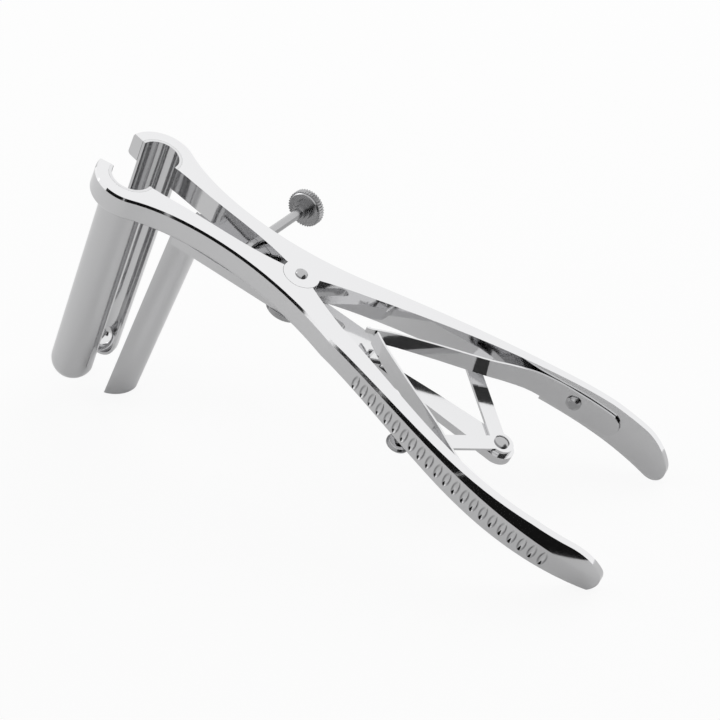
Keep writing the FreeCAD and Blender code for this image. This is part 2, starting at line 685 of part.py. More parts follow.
def centre_bar():
    body = doc.addObject("PartDesign::Body", "centre_bar_body")
    front = corner_sketch(body, "bar_plate_outline", "XY_Plane", [
        ("-Sizes.bar_front_x", "-Sizes.bar_front_half"),
        ("-Sizes.bar_knee_x", "-Sizes.bar_knee_half"),
        ("Sizes.pivot_radius * 4", "-Sizes.pad_half"),
        ("Sizes.pad_rear_x", "-Sizes.pad_half"),
        ("Sizes.ramp_x", "-Sizes.tail_neck_half"),
        ("Sizes.ramp_x", "Sizes.tail_neck_half"),
        ("Sizes.pad_rear_x", "Sizes.pad_half"),
        ("Sizes.pivot_radius * 4", "Sizes.pad_half"),
        ("-Sizes.bar_knee_x", "Sizes.bar_knee_half"),
        ("-Sizes.bar_front_x", "Sizes.bar_front_half"),
    ], "-Sizes.bar_bottom")
    pad(body, front, "bar_plate", "Sizes.bar_tall")
    raised = corner_sketch(body, "bar_pad_outline", "XY_Plane", [
        ("-Sizes.pad_front_x", "-Sizes.pad_half"),
        ("Sizes.pad_rear_x", "-Sizes.pad_half"),
        ("Sizes.pad_rear_x", "Sizes.pad_half"),
        ("-Sizes.pad_front_x", "Sizes.pad_half"),
    ], "-Sizes.bar_bottom + Sizes.bar_lap")
    pad(body, raised, "bar_pad", "Sizes.bar_bottom - Sizes.bar_lap - Sizes.lever_height - Sizes.face_gap")
    tail = corner_sketch(body, "bar_tail_outline", "XY_Plane", [
        ("Sizes.pad_rear_x - Sizes.bar_lap", "-Sizes.tail_neck_half"),
        ("Sizes.ramp_x", "-Sizes.tail_neck_half"),
        ("Sizes.tail_mid_x", "-Sizes.tail_mid_half"),
        ("Sizes.eye_x", "-Sizes.eye_radius", "Sizes.eye_radius"),
        ("Sizes.eye_x + Sizes.eye_radius", "0", "Sizes.eye_radius"),
        ("Sizes.eye_x", "Sizes.eye_radius"),
        ("Sizes.tail_mid_x", "Sizes.tail_mid_half"),
        ("Sizes.ramp_x", "Sizes.tail_neck_half"),
        ("Sizes.pad_rear_x - Sizes.bar_lap", "Sizes.tail_neck_half"),
    ], f"-({TAIL_TOP} + Sizes.tail_tall)")
    pad(body, tail, "bar_tail", "Sizes.tail_tall")
    slot_half = "(Sizes.pivot_radius + Sizes.slot_gap)"
    slot = corner_sketch(body, "bar_slot_outline", "XY_Plane", [
        ("-Sizes.slot_front", f"-{slot_half}"),
        ("Sizes.slot_rear", f"-{slot_half}", slot_half),
        (f"Sizes.slot_rear + {slot_half}", "0", slot_half),
        ("Sizes.slot_rear", slot_half),
        ("-Sizes.slot_front", slot_half, slot_half),
        (f"-Sizes.slot_front - {slot_half}", "0", slot_half),
    ])
    through_pocket(body, slot, "bar_slot")
    eye_bore = "Sizes.link_pin_radius + Sizes.braze_gap"
    eye = circle_sketch(body, "bar_eye_outline", "XY_Plane", "Sizes.eye_x", "0", eye_bore)
    through_pocket(body, eye, "bar_eye")
    seat_bore = "Sizes.third_radius + Sizes.braze_gap"
    seat = circle_sketch(body, "bar_blade_seat_outline", "XY_Plane", "-Sizes.third_x", "0", seat_bore)
    body.Tip = through_pocket(body, seat, "bar_blade_seat")
    return hand_over(body, "centre_bar")


centre_bar()


# Pivot screw and its flat nut

PIVOT_DOME = "((Sizes.pivot_head_radius^2 + Sizes.pivot_head_rise^2) / (2 * Sizes.pivot_head_rise))"
turned_piece("pivot_screw", [
    ("0", "-(Sizes.bar_bottom + Sizes.face_gap + Sizes.nut_tall)"),
    ("Sizes.pivot_radius", "-(Sizes.bar_bottom + Sizes.face_gap + Sizes.nut_tall)"),
    ("Sizes.pivot_radius", "Sizes.running_gap"),
    ("Sizes.pivot_head_radius", "Sizes.running_gap"),
    ("Sizes.pivot_head_radius", "Sizes.running_gap + Sizes.pivot_head_rim", PIVOT_DOME),
    ("0", "Sizes.running_gap + Sizes.pivot_head_rim + Sizes.pivot_head_rise"),
])
turned_piece("pivot_nut", [
    ("Sizes.pivot_radius + Sizes.braze_gap", "-(Sizes.bar_bottom + Sizes.face_gap + Sizes.nut_tall)"),
    ("Sizes.nut_radius", "-(Sizes.bar_bottom + Sizes.face_gap + Sizes.nut_tall)"),
    ("Sizes.nut_radius", "-(Sizes.bar_bottom + Sizes.face_gap)"),
    ("Sizes.pivot_radius + Sizes.braze_gap", "-(Sizes.bar_bottom + Sizes.face_gap)"),
])


# Toggle links: flat bars with an eye at each end, the near one above the far one

def link(label, side, low):
    """A link drawn along +X from the toggle eye, then swung to its handle pin."""
    body = doc.addObject("PartDesign::Body", label + "_body")
    length = "sqrt((Sizes.eye_x - Sizes.link_end_x)^2 + Sizes.link_end_y^2)"
    strap = corner_sketch(body, label + "_strap_outline", "XY_Plane", [
        ("0", "-Sizes.link_half"),
        (length, "-Sizes.link_half"),
        (length, "Sizes.link_half"),
        ("0", "Sizes.link_half"),
    ])
    pad(body, strap, label + "_strap", "Sizes.link_thick")
    eye = circle_sketch(body, label + "_eye_outline", "XY_Plane", "0", "0", "Sizes.link_eye")
    pad(body, eye, label + "_eye", "Sizes.link_thick")
    foot = circle_sketch(body, label + "_foot_outline", "XY_Plane", length, "0", "Sizes.link_foot")
    pad(body, foot, label + "_foot", "Sizes.link_thick")
    running_bore = "Sizes.link_pin_radius + Sizes.running_gap"
    hole = circle_sketch(body, label + "_eye_hole", "XY_Plane", "0", "0", running_bore)
    through_pocket(body, hole, label + "_eye_bore")
    pressed_bore = "Sizes.link_pin_radius + Sizes.braze_gap"
    hole = circle_sketch(body, label + "_foot_hole", "XY_Plane", length, "0", pressed_bore)
    body.Tip = through_pocket(body, hole, label + "_foot_bore")
    swing = math.degrees(math.atan2(side * size("link_end_y"), size("link_end_x") - size("eye_x")))
    local = Placement(Vector(size("eye_x"), 0, low), Rotation(Vector(0, 0, 1), swing))
    return hand_over(body, label, local)


near_link_low = -size("seat_depth") - size("link_step") - size("link_thick")
far_link_low = near_link_low - size("link_step") - size("link_thick")
link("near_link", -1, near_link_low)
link("far_link", 1, far_link_low)

TOGGLE_RISE = "(Sizes.toggle_head_tall * 2 / 3)"
TOGGLE_DOME = f"((Sizes.toggle_head_radius^2 + {TOGGLE_RISE}^2) / (2 * {TOGGLE_RISE}))"
turned_piece("toggle_screw", [
    ("0", f"-({TAIL_TOP} + Sizes.tail_tall + Sizes.toggle_nut_tall)"),
    ("Sizes.link_pin_radius", f"-({TAIL_TOP} + Sizes.tail_tall + Sizes.toggle_nut_tall)"),
    ("Sizes.link_pin_radius", "-Sizes.seat_depth"),
    ("Sizes.toggle_head_radius", "-Sizes.seat_depth"),
    ("Sizes.toggle_head_radius", "-Sizes.seat_depth + Sizes.toggle_head_tall / 3", TOGGLE_DOME),
    ("0", "-Sizes.seat_depth + Sizes.toggle_head_tall"),
], Placement(Vector(size("eye_x"), 0, 0), Rotation()))
turned_piece("toggle_nut", [
    ("Sizes.link_pin_radius + Sizes.braze_gap", f"-({TAIL_TOP} + Sizes.tail_tall + Sizes.toggle_nut_tall)"),
    ("Sizes.toggle_nut_radius", f"-({TAIL_TOP} + Sizes.tail_tall + Sizes.toggle_nut_tall)"),
    ("Sizes.toggle_nut_radius", f"-({TAIL_TOP} + Sizes.tail_tall)"),
    ("Sizes.link_pin_radius + Sizes.braze_gap", f"-({TAIL_TOP} + Sizes.tail_tall)"),
], Placement(Vector(size("eye_x"), 0, 0), Rotation()))


# Domed pins under the handles: they ride with the links, their tips reach into the handles

def link_screw(label, side, under):
    return turned_piece(label, [
        ("0", f"-({under} + Sizes.dome_tall)"),
        ("Sizes.dome_radius", f"-({under} + Sizes.dome_tall * 0.3)"),
        ("Sizes.dome_radius", f"-{under}"),
        ("Sizes.link_pin_radius", f"-{under}"),
        ("Sizes.link_pin_radius", "-Sizes.seat_depth"),
        ("Sizes.pin_tip_radius", "-Sizes.seat_depth"),
        ("Sizes.pin_tip_radius", "-Sizes.seat_depth + Sizes.pin_depth"),
        ("0", "-Sizes.seat_depth + Sizes.pin_depth"),
    ], Placement(Vector(size("link_end_x"), side * size("link_end_y"), 0), Rotation()))


link_screw("near_link_screw", -1, "(Sizes.seat_depth + Sizes.link_step + Sizes.link_thick)")
link_screw("far_link_screw", 1, LINK_STACK)
turned_piece("far_link_washer", [
    ("Sizes.link_pin_radius + Sizes.braze_gap", "-(Sizes.seat_depth + Sizes.link_step + Sizes.link_thick)"),
    ("Sizes.link_foot", "-(Sizes.seat_depth + Sizes.link_step + Sizes.link_thick)"),
    ("Sizes.link_foot", "-(Sizes.seat_depth + Sizes.link_step)"),
    ("Sizes.link_pin_radius + Sizes.braze_gap", "-(Sizes.seat_depth + Sizes.link_step)"),
], Placement(Vector(size("link_end_x"), size("link_end_y"), 0), Rotation()))


# Leaf springs: sprung strips from the handles' inner faces to the hooked tips at the centre

def spring_path(tip):
    """Centre line of the far spring: hooked tip, free bow, then along the handle's face."""
    inset = size("spring_thick") / 2 + size("spring_seat_gap")
    points = [Vector(size(tip + "_x"), -size(tip + "_y"), 0)]
    for place in ("cross", "bow", "free", "lift"):
        points.append(Vector(size(place + "_x"), size(place + "_y"), 0))
    near_touch = size("touch_x")
    points.append(Vector(near_touch, handle_inner_at(near_touch) - inset - size("touch_gap"), 0))
    tail = size("spring_tail_x") + size("spring_tail_round")
    for place in (size("flat_x"), size("spring_screw_x"), size("rear_flat_x"), tail):
        points.append(Vector(place, handle_inner_at(place) - inset, 0))
    return points


def spring_strip(points):
    """The strip between two curves beside its path, cut to its side outline."""
    path = curve_through(points)
    half = size("spring_thick") / 2
    count = len(points) * 2
    left = []
    right = []
    for step in range(count + 1):
        parameter = path.FirstParameter + (path.LastParameter - path.FirstParameter) * step / count
        place = path.value(parameter)
        tangent = path.tangent(parameter)[0]
        side = Vector(-tangent.y, tangent.x, 0) * half
        left.append(place + side)
        right.append(place - side)
    edges = [
        curve_through(left).toShape(),
        Part.LineSegment(left[-1], right[-1]).toShape(),
        curve_through(right[::-1]).toShape(),
        Part.LineSegment(right[0], left[0]).toShape(),
    ]
    deep = 2 * size("spring_rear_bottom")
    strip = Part.Face(Part.Wire(edges)).extrude(Vector(0, 0, -deep))
    front = points[0].x - 2 * size("spring_thick")
    corners = [
        Vector(front, 0, -size("spring_top")),
        Vector(size("spring_tail_x"), 0, -size("spring_top")),
        Vector(size("spring_tail_x") + size("spring_tail_round"), 0, -size("spring_screw_z")),
        Vector(size("spring_tail_x"), 0, -size("spring_rear_bottom") + size("spring_tail_rise")),
        Vector(size("spring_screw_x"), 0, -size("spring_rear_bottom")),
        Vector(size("spring_knee_x"), 0, -size("seat_depth") + size("spring_link_gap")),
        Vector(front, 0, -size("spring_front_bottom")),
    ]
    outline = Part.Wire([
        Part.LineSegment(corners[0], corners[1]).toShape(),
        Part.Arc(corners[1], corners[2], corners[3]).toShape(),
        Part.LineSegment(corners[3], corners[4]).toShape(),
        Part.LineSegment(corners[4], corners[5]).toShape(),
        Part.LineSegment(corners[5], corners[6]).toShape(),
        Part.LineSegment(corners[6], corners[0]).toShape(),
    ])
    wide = 4 * size("belly_outer")
    side = Part.Face(outline).extrude(Vector(0, wide, 0)).translated(Vector(0, -wide / 2, 0))
    return strip.common(side)


def spring_hole():
    place, inward = spring_screw_line()
    radius = size("spring_screw_radius") + size("braze_gap")
    return Part.makeCylinder(radius, 4 * size("spring_thick"), place - inward * size("spring_thick"), inward)


def tongue_box(gap):
    low = -size("tongue_low") - gap
    high = -size("tongue_high") + gap
    return low, high


def far_spring():
    """The far strip with the window for the tongue."""
    strip = spring_strip(spring_path("far_tip"))
    low, high = tongue_box(size("window_gap"))
    wide = 2 * size("bow_y")
    window = Part.makeBox(size("window_long"), wide, high - low, Vector(size("window_x"), -wide / 2, low))
    return strip.cut(window).cut(spring_hole())


def near_spring():
    """The near strip, drawn on the far side: full height to the crossing, then the narrow tongue."""
    strip = spring_strip(spring_path("near_tip"))
    low, high = tongue_box(0)
    reach_x = size("tongue_root_x")
    wide = 4 * size("bow_y")
    deep = 3 * size("spring_rear_bottom")
    above = Part.makeBox(reach_x, wide, deep, Vector(0, -wide / 2, high))
    below = Part.makeBox(reach_x, wide, deep, Vector(0, -wide / 2, low - deep))
    return strip.cut(above).cut(below).cut(spring_hole())


plain_piece("far_spring", far_spring())
plain_piece("near_spring", mirrored(near_spring()))


# Spring screws: heads on the springs, shanks in the handles

def spring_screw(label, side):
    place, inward = spring_screw_line()
    start = place + inward * (size("spring_thick") + 2 * size("spring_seat_gap"))
    if side < 0:
        start = Vector(start.x, -start.y, start.z)
        inward = Vector(inward.x, -inward.y, inward.z)
    shank = "(Sizes.spring_thick + 2 * Sizes.spring_seat_gap + Sizes.spring_screw_bite)"
    return turned_piece(label, [
        ("0", f"-{shank}"),
        ("Sizes.spring_screw_radius", f"-{shank}"),
        ("Sizes.spring_screw_radius", "0"),
        ("Sizes.spring_head_radius", "0"),
        ("Sizes.spring_head_radius", "Sizes.spring_head_tall * 0.4"),
        ("Sizes.spring_head_radius * 0.6", "Sizes.spring_head_tall"),
        ("0", "Sizes.spring_head_tall"),
    ], Placement(start, Rotation(Vector(0, 0, 1), inward)))


spring_screw("far_spring_screw", 1)
spring_screw("near_spring_screw", -1)


# Thumb screw through the far arm, and its knob

thumb_tip, thumb_along = thumb_line()
THUMB_PLACE = Placement(thumb_tip, Rotation(Vector(0, 0, 1), thumb_along))
turned_piece("thumb_screw", [
    ("0", "0"),
    ("Sizes.thumb_radius * 0.6", "0"),
    ("Sizes.thumb_radius", "Sizes.thumb_radius * 0.6"),
    ("Sizes.thumb_radius", "Sizes.thumb_reach + Sizes.thumb_disc_start"),
    ("0", "Sizes.thumb_reach + Sizes.thumb_disc_start"),
], THUMB_PLACE)
DISC_START = "Sizes.thumb_reach + Sizes.thumb_disc_start"
DISC_END = f"{DISC_START} + Sizes.thumb_disc_thick"
turned_piece("thumb_knob", [
    ("Sizes.thumb_radius + Sizes.braze_gap", "Sizes.thumb_reach + Sizes.thumb_hub_start"),
    ("Sizes.thumb_hub_radius", "Sizes.thumb_reach + Sizes.thumb_hub_start"),
    ("Sizes.thumb_hub_radius", "Sizes.thumb_reach + Sizes.thumb_collar_start"),
    ("Sizes.thumb_collar_radius", "Sizes.thumb_reach + Sizes.thumb_collar_start"),
    ("Sizes.thumb_collar_radius", DISC_START),
    ("Sizes.thumb_disc_radius - Sizes.thumb_disc_bevel", DISC_START),
    ("Sizes.thumb_disc_radius", f"{DISC_START} + Sizes.thumb_disc_bevel"),
    ("Sizes.thumb_disc_radius", f"{DISC_END} - Sizes.thumb_disc_bevel"),
    ("Sizes.thumb_disc_radius - Sizes.thumb_disc_bevel", DISC_END),
    ("Sizes.thumb_dish_radius", DISC_END),
    ("Sizes.thumb_dish_radius - Sizes.thumb_dish_deep", f"{DISC_END} - Sizes.thumb_dish_deep"),
    ("0", f"{DISC_END} - Sizes.thumb_dish_deep"),
    ("0", DISC_START),
    ("Sizes.thumb_radius + Sizes.braze_gap", DISC_START),
], THUMB_PLACE)


# Stand the instrument up: one turn for all pieces, then the middle of its footprint to the origin

doc.recompute()
for piece, local in parts:
    piece.Placement = TURN.multiply(local)
doc.recompute()
whole = FreeCAD.BoundBox()
for piece, _ in parts:
    whole.add(piece.Shape.optimalBoundingBox(True, False))
shift = Vector(-(whole.XMin + whole.XMax) / 2, -(whole.YMin + whole.YMax) / 2, -whole.ZMin)
STANCE = Placement(shift, TURN.Rotation)
for piece, local in parts:
    piece.Placement = STANCE.multiply(local)
doc.recompute()

for thing in doc.Objects:
    if "Invalid" in thing.State or "Error" in thing.State:
        raise RuntimeError(f"{thing.Name} failed: {thing.State}")
for piece, _ in parts:
    if piece.Shape.isNull() or not piece.Shape.isValid():
        raise RuntimeError(f"{piece.Label} has no valid shape")

os.makedirs("parts", exist_ok=True)
for piece, _ in parts:
    piece.Shape.exportStep(os.path.join("parts", piece.Label + ".step"))
    print(piece.Label, len(piece.Shape.Solids), round(piece.Shape.Volume, 1))
print("stance angle", round(stance_angle, 3), "shift", [round(value, 3) for value in shift])
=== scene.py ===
import bmesh
import bpy
import math
from mathutils import Euler, Matrix, Vector


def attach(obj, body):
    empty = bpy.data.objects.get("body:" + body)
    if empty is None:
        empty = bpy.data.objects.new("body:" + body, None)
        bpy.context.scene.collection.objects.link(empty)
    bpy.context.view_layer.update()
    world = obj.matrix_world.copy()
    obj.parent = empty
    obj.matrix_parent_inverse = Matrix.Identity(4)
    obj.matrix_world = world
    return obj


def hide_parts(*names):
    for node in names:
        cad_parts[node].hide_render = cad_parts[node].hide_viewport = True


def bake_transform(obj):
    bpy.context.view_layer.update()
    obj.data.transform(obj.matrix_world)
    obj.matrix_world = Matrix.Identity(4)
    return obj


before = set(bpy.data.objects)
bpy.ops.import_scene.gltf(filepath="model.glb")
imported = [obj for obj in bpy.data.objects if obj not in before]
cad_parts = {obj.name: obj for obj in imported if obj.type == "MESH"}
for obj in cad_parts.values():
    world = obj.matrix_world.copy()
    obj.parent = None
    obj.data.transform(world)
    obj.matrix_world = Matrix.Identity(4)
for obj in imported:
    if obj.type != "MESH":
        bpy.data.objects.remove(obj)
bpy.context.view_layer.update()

# The studio. White sweep paper lies under the instrument in a white room, which the flat ground
# faces mirror as a pale grey. A panel behind and above lights the paper and throws the soft
# shadow. Black and grey cards, which the camera doesn't see, draw the dark lines along the bevels,
# as in a product photograph of polished steel; the black card lying on the paper is seen only by
# the steel and is a painted dark reflection.

CAMERA_PLACE = (0.210417, -0.375535, 0.310526)
CAMERA_TURN_DEG = (57.0748, 0.9999, 27.4026)
CAMERA_LENS_MM = 84.702
SENSOR_MM = 36.0
NEAREST_SEEN = 0.01
MIDDLE = (0.0, 0.0, 0.05)

camera_data = bpy.data.cameras.new("photo_camera")
camera_data.lens = CAMERA_LENS_MM
camera_data.sensor_width = SENSOR_MM
camera_data.sensor_fit = "HORIZONTAL"
camera_data.clip_start = NEAREST_SEEN
camera = bpy.data.objects.new("photo_camera", camera_data)
camera.location = CAMERA_PLACE
camera.rotation_euler = Euler([math.radians(angle) for angle in CAMERA_TURN_DEG], "XYZ")
bpy.context.scene.collection.objects.link(camera)
bpy.context.scene.camera = camera
bpy.context.scene.view_settings.view_transform = "Standard"


def linear(hex_colour):
    """An sRGB hex value as the linear colour that the shaders take."""
    channels = [int(hex_colour[i:i + 2], 16) / 255 for i in (1, 3, 5)]
    return [c / 12.92 if c <= 0.04045 else ((c + 0.055) / 1.055) ** 2.4 for c in channels] + [1.0]


def add_node(tree, kind, inputs=None, **settings):
    """One node with its settings; an input takes a value or another node's output."""
    node = tree.nodes.new(kind)
    for name, value in settings.items():
        setattr(node, name, value)
    for name, value in (inputs or {}).items():
        socket = node.inputs[name]
        if isinstance(value, bpy.types.NodeSocket):
            tree.links.new(value, socket)
        else:
            socket.default_value = value
    return node


def add_math(tree, operation, *values):
    """The answer of one math node."""
    return add_node(tree, "ShaderNodeMath", dict(enumerate(values)), operation=operation).outputs[0]


def new_material(name):
    """An empty node material."""
    material = bpy.data.materials.new(name)
    material.use_nodes = True
    material.node_tree.nodes.clear()
    return material, material.node_tree


# The room is dim for the paper's own shading and white for whatever looks or mirrors into it.
AMBIENT_STRENGTH = 0.62
WHITE_STRENGTH = 1.3

world = bpy.data.worlds.new("white_studio")
bpy.context.scene.world = world
world.use_nodes = True
tree = world.node_tree
tree.nodes.clear()
ray = add_node(tree, "ShaderNodeLightPath").outputs
seen = add_math(tree, "MAXIMUM", ray["Is Camera Ray"], ray["Is Glossy Ray"])
seen = add_math(tree, "MAXIMUM", seen, ray["Is Transmission Ray"])
ambient = add_node(tree, "ShaderNodeBackground", {
    "Color": linear("#F4F4F4"), "Strength": AMBIENT_STRENGTH})
white = add_node(tree, "ShaderNodeBackground", {
    "Color": linear("#FFFFFF"), "Strength": WHITE_STRENGTH})
mixed = add_node(tree, "ShaderNodeMixShader", {0: seen, 1: ambient.outputs[0], 2: white.outputs[0]})
add_node(tree, "ShaderNodeOutputWorld", {"Surface": mixed.outputs[0]})


def stage_sheet(name, corners, material, camera_sees=False, throws_shadow=True):
    """A flat sheet of the studio through its corners."""
    mesh = bpy.data.meshes.new(name)
    mesh.from_pydata(corners, [], [tuple(range(len(corners)))])
    mesh.materials.append(material)
    sheet = bpy.data.objects.new(name, mesh)
    sheet.visible_camera = camera_sees
    sheet.visible_shadow = throws_shadow
    sheet.visible_diffuse = throws_shadow
    bpy.context.scene.collection.objects.link(sheet)


# For the camera the paper is lifted towards white; the steel sees more of its true shade,
# which falls off under the instrument.
LIFT_FOR_CAMERA = 0.90
LIFT_FOR_STEEL = 0.10
PAPER_HALF = 4.0

sweep_paper, tree = new_material("white_sweep_paper")
ray = add_node(tree, "ShaderNodeLightPath").outputs
paper = add_node(tree, "ShaderNodeBsdfDiffuse", {"Color": linear("#F2F2F2")})
glow = add_node(tree, "ShaderNodeEmission", {"Color": linear("#FFFFFF"), "Strength": 1.0})
to_camera = add_math(tree, "MULTIPLY", ray["Is Camera Ray"], LIFT_FOR_CAMERA)
to_steel = add_math(tree, "MULTIPLY", ray["Is Glossy Ray"], LIFT_FOR_STEEL)
lift = add_math(tree, "MAXIMUM", to_camera, to_steel)
mixed = add_node(tree, "ShaderNodeMixShader", {0: lift, 1: paper.outputs[0], 2: glow.outputs[0]})
add_node(tree, "ShaderNodeOutputMaterial", {"Surface": mixed.outputs[0]})
paper_corners = [
    (across * PAPER_HALF, along * PAPER_HALF, 0.0)
    for across, along in ((-1, -1), (1, -1), (1, 1), (-1, 1))]
stage_sheet("floor", paper_corners, sweep_paper, camera_sees=True)


def card_cloth(name, colour):
    """Matt cloth of one shade."""
    material, tree = new_material(name)
    felt = add_node(tree, "ShaderNodeBsdfDiffuse", {"Color": linear(colour)})
    add_node(tree, "ShaderNodeOutputMaterial", {"Surface": felt.outputs[0]})
    return material


def upright_card(name, start, end, top, material):
    """A card that stands on the paper between two points."""
    stage_sheet(name, [(*start, 0.0), (*end, 0.0), (*end, top), (*start, top)], material)


# The lying card is a painted dark reflection of shade on the paper: only the steel sees it, and it
# throws no shadow. Its edge follows the line on the paper where the mirrored bevels turn dark.
PAINTED_REFLECTION_EDGE = [
    (0.12, -0.03), (0.10, -0.041), (0.08, -0.053), (0.06, -0.071), (0.04, -0.094), (0.02, -0.125),
    (0.0, -0.155), (-0.10, -0.28), (-0.33, -0.64), (0.9, -0.64), (0.9, 0.02)]
PAINTED_REFLECTION_LIFT = 0.0008
CARD_LEFT_END = (-0.62, -0.9)
CARD_CORNER = (1.2, -0.9)
CARD_RIGHT_END = (1.2, 0.55)
FRONT_CARD_TOP = 0.46
RIGHT_CARD_TOP = 0.9

black_cloth = card_cloth("black_flag_cloth", "#1E1E1E")
grey_cloth = card_cloth("grey_flag_cloth", "#5C5C5C")
painted_reflection_card = [(*corner, PAINTED_REFLECTION_LIFT) for corner in PAINTED_REFLECTION_EDGE]
# Painted dark reflection: a black sheet that only the steel sees, casting no shadow.
stage_sheet("painted_reflection_on_table", painted_reflection_card, black_cloth, throws_shadow=False)
upright_card("flag_before", CARD_LEFT_END, CARD_CORNER, FRONT_CARD_TOP, black_cloth)
upright_card("flag_right", CARD_CORNER, CARD_RIGHT_END, RIGHT_CARD_TOP, grey_cloth)


def softbox(name, centre, size, power, seen_in_steel):
    """A rectangular lamp turned to the middle of the instrument."""
    lamp = bpy.data.lights.new(name, "AREA")
    lamp.shape = "RECTANGLE"
    lamp.size = size[0]
    lamp.size_y = size[1]
    lamp.energy = power
    holder = bpy.data.objects.new(name, lamp)
    holder.location = centre
    towards = Vector(MIDDLE) - Vector(centre)
    holder.rotation_euler = towards.to_track_quat("-Z", "Y").to_euler()
    holder.visible_glossy = seen_in_steel
    bpy.context.scene.collection.objects.link(holder)


softbox("panel_behind", centre=(0.25, 1.15, 1.0), size=(2.0, 1.1), power=11.0, seen_in_steel=False)
softbox("panel_left", centre=(-1.3, -0.2, 0.9), size=(0.7, 1.0), power=5.0, seen_in_steel=True)

# The forged levers. Stainless steel, drop-forged, ground flat on top and buffed to a mirror, with
# grip scoops filed into the handles' outer sides; the pivot screw holds them in their lap joint.
# To the eye the buffing gives a faint haze, fine streaks along the lever and long shallow waves
# that bend what it mirrors. The scoops' flanks carry painted shade: their base colour is darkened.

MM_PER_M = 1000
STREAK_STRETCH = 40.0
HAZE_DETAIL = 3.0
STREAK_DETAIL = 2.0
WAVE_DETAIL = 1.0
WAVE_STRENGTH = 0.25
GLOSS_NOISE_TOP = 0.5
LEAST_ROUGH = 0.6
MOST_ROUGH = 1.5

# The instrument was drawn flat, in millimetres about its pivot; this turn and shift stand it up.
STANCE_TURN_DEG = 25.04
STANCE_SHIFT_MM = (-8.626, 0.0, 60.002)
stance_turn = math.radians(STANCE_TURN_DEG)
stance_shift = [value / MM_PER_M for value in STANCE_SHIFT_MM]

SCOOP_FIRST_MM = 33.4
SCOOP_PITCH_MM = 3.4
SCOOP_COUNT = 22
SCOOP_HALF_WIDE_MM = 1.15
SCOOP_HALF_TALL_MM = 2.7
SCOOP_DEEP_MM = 0.35
SCOOP_DISH_STRENGTH = 0.6
SCOOP_FLANK_OUT = 0.78
SCOOP_FLANK_FADE = (0.34, 0.08)
# Painted shade on the scoops' flanks: its strength and its dark colour.
SCOOP_PAINTED_SHADE_STRENGTH = 0.8
SCOOP_PAINTED_SHADE_COLOUR = "#4A4A4B"
# The scoops' middle height over the way back, as a square, a linear and a constant term.
SCOOP_MIDDLE_MM = (-0.000454, 0.03264, -4.884)
# Blender's Mix node has several sockets of one name; these are the places of its colours.
MIX_COLOUR_A = 6
MIX_COLOUR_B = 7
MIX_COLOUR_RESULT = 2


def polished_steel(name, colour, roughness, wave_mm, haze_mm, wave_height_mm):
    """Buffed stainless steel: haze and streaks vary its gloss, long waves bend its reflections."""
    material, tree = new_material(name)
    place = add_node(tree, "ShaderNodeTexCoord").outputs["Object"]
    haze = add_node(tree, "ShaderNodeTexNoise", {
        "Vector": place, "Scale": MM_PER_M / haze_mm, "Detail": HAZE_DETAIL})
    drawn = add_node(tree, "ShaderNodeMapping", {
        "Vector": place, "Scale": (1.0, STREAK_STRETCH, STREAK_STRETCH)})
    streak = add_node(tree, "ShaderNodeTexNoise", {
        "Vector": drawn.outputs[0], "Scale": MM_PER_M / wave_mm, "Detail": STREAK_DETAIL})
    both = add_math(tree, "MULTIPLY", haze.outputs["Fac"], streak.outputs["Fac"])
    gloss = add_node(tree, "ShaderNodeMapRange", {
        "Value": both, "From Max": GLOSS_NOISE_TOP,
        "To Min": roughness * LEAST_ROUGH, "To Max": roughness * MOST_ROUGH})
    wave = add_node(tree, "ShaderNodeTexNoise", {
        "Vector": place, "Scale": MM_PER_M / wave_mm, "Detail": WAVE_DETAIL})
    dent = add_node(tree, "ShaderNodeBump", {
        "Height": wave.outputs["Fac"], "Strength": WAVE_STRENGTH,
        "Distance": wave_height_mm / MM_PER_M})
    steel = add_node(tree, "ShaderNodeBsdfPrincipled", {
        "Base Color": linear(colour), "Metallic": 1.0,
        "Roughness": gloss.outputs[0], "Normal": dent.outputs[0]})
    add_node(tree, "ShaderNodeOutputMaterial", {"Surface": steel.outputs[0]})
    return material


def finish_nodes(material, *nodes):
    """Give CAD nodes their finish."""
    for node in nodes:
        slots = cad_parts[node].data.materials
        slots.clear()
        slots.append(material)


